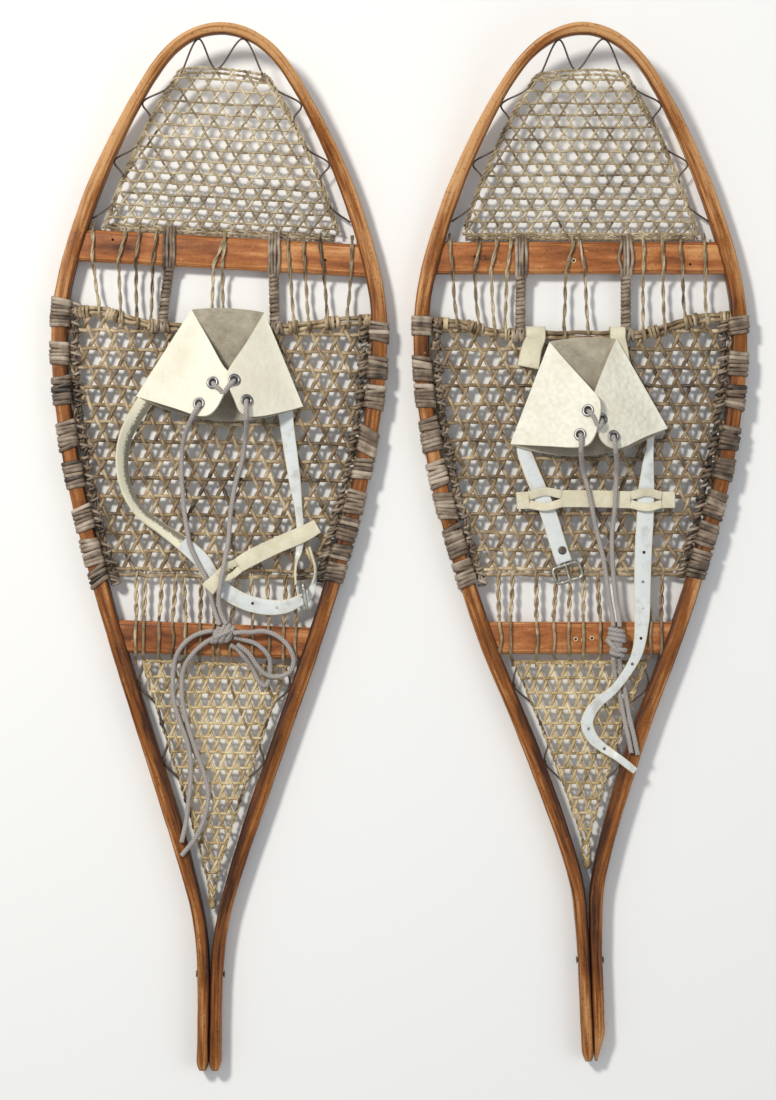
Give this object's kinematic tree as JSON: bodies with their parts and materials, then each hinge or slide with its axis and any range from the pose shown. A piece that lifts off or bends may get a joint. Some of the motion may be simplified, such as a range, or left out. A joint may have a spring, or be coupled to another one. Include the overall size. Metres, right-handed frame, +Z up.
{
  "type": "snowshoes",
  "caption": "Pair of wooden-framed snowshoes with rawhide netting, turned-up toes, long tails and laced leather toe bindings.",
  "frame": {"origin": "centre of the ground rectangle that the pair covers, on the ground", "axes": "+Y towards the toes, +X towards the right-hand shoe, +Z up"},
  "size_m": [0.737, 1.0932, 0.0591],
  "materials": {
    "frame_wood": "varnished honey-brown bent wood",
    "crossbar_wood": "varnished red-brown wood",
    "toe_rawhide": "fine pale rawhide thong",
    "body_rawhide": "varnished tan rawhide thong",
    "tail_rawhide": "yellowish cream rawhide thong",
    "dark_thong": "dark narrow thong",
    "wrap_rawhide": "grey-brown rawhide wrapping",
    "ivory_leather": "pebbled ivory leather",
    "suede": "worn suede side of the leather",
    "strap_leather": "smooth bluish white leather with fuzzy cream back",
    "lace_cord": "grey-brown braided cord",
    "eyelet_steel": "darkened steel",
    "buckle_metal": "dull olive-grey plated metal",
    "rivet_steel": "dark steel"
  },
  "bodies": {
    "left_shoe": {"left_frame": "frame_wood", "left_toe_crossbar": "crossbar_wood", "left_heel_crossbar": "crossbar_wood", "left_tail_rivet": "rivet_steel", "left_toe_webbing": "toe_rawhide", "left_body_webbing": "body_rawhide", "left_tail_webbing": "tail_rawhide", "left_toe_lanyard": "dark_thong", "left_rail_lashing_left": "wrap_rawhide", "left_rail_lashing_right": "wrap_rawhide", "left_toe_cord": "wrap_rawhide", "left_toe_hole_wrap_left": "wrap_rawhide", "left_toe_hole_wrap_right": "wrap_rawhide", "left_lace_strand_a": "lace_cord", "left_lace_strand_b": "lace_cord", "left_lace_knot": "lace_cord", "left_lace_bow_a": "lace_cord", "left_lace_bow_b": "lace_cord", "left_lace_tail_a": "lace_cord", "left_lace_tail_b": "lace_cord", "left_long_strap": "strap_leather", "left_buckle_strap": "strap_leather", "left_cross_strap": "ivory_leather", "left_buckle_frame": "buckle_metal", "left_buckle_prong": "buckle_metal"},
    "left_binding": {"left_toe_piece": "ivory_leather", "left_hanger_strap": "suede", "left_eyelet_upper_left": "eyelet_steel", "left_eyelet_upper_right": "eyelet_steel", "left_eyelet_lower_left": "eyelet_steel", "left_eyelet_lower_right": "eyelet_steel"},
    "right_shoe": {"right_frame": "frame_wood", "right_toe_crossbar": "crossbar_wood", "right_heel_crossbar": "crossbar_wood", "right_tail_rivet": "rivet_steel", "right_toe_webbing": "toe_rawhide", "right_body_webbing": "body_rawhide", "right_tail_webbing": "tail_rawhide", "right_toe_lanyard": "dark_thong", "right_rail_lashing_left": "wrap_rawhide", "right_rail_lashing_right": "wrap_rawhide", "right_toe_cord": "wrap_rawhide", "right_toe_hole_wrap_left": "wrap_rawhide", "right_toe_hole_wrap_right": "wrap_rawhide", "right_lace_strand_a": "lace_cord", "right_lace_strand_b": "lace_cord", "right_lace_knot": "lace_cord", "right_lace_tail_a": "lace_cord", "right_lace_tail_b": "lace_cord", "right_long_strap": "strap_leather", "right_buckle_strap": "strap_leather", "right_cross_strap": "ivory_leather"},
    "right_binding": {"right_toe_piece": "ivory_leather", "right_hanger_strap": "suede", "right_eyelet_upper_left": "eyelet_steel", "right_eyelet_upper_right": "eyelet_steel", "right_eyelet_lower_left": "eyelet_steel", "right_eyelet_lower_right": "eyelet_steel"},
    "right_buckle": {"right_buckle_frame": "buckle_metal"},
    "right_buckle_prong": {"right_buckle_prong": "buckle_metal"}
  },
  "joints": [
    {"name": "right_shoe_lift", "type": "slide", "parent": "left_shoe", "child": "right_shoe", "axis": [0, 0, 1], "range_m": [0, 0.3]},
    {"name": "left_heel_lift", "type": "hinge", "parent": "left_shoe", "child": "left_binding", "pos_m": [-0.18872, 0.23354, 0.0125], "axis": [-0.9999, 0.0143, 0], "range_deg": [0, 35]},
    {"name": "right_heel_lift", "type": "hinge", "parent": "right_shoe", "child": "right_binding", "pos_m": [0.18993, 0.22556, 0.0125], "axis": [-1, 0, 0], "range_deg": [0, 35]},
    {"name": "right_buckle_tilt", "type": "hinge", "parent": "right_shoe", "child": "right_buckle", "pos_m": [0.17393, -0.01594, 0.0177], "axis": [-0.9563, -0.2924, 0], "range_deg": [0, 90]},
    {"name": "right_prong_tilt", "type": "hinge", "parent": "right_buckle", "child": "right_buckle_prong", "pos_m": [0.17393, -0.01594, 0.0177], "axis": [-0.9563, -0.2924, 0], "range_deg": [0, 60]}
  ]
}
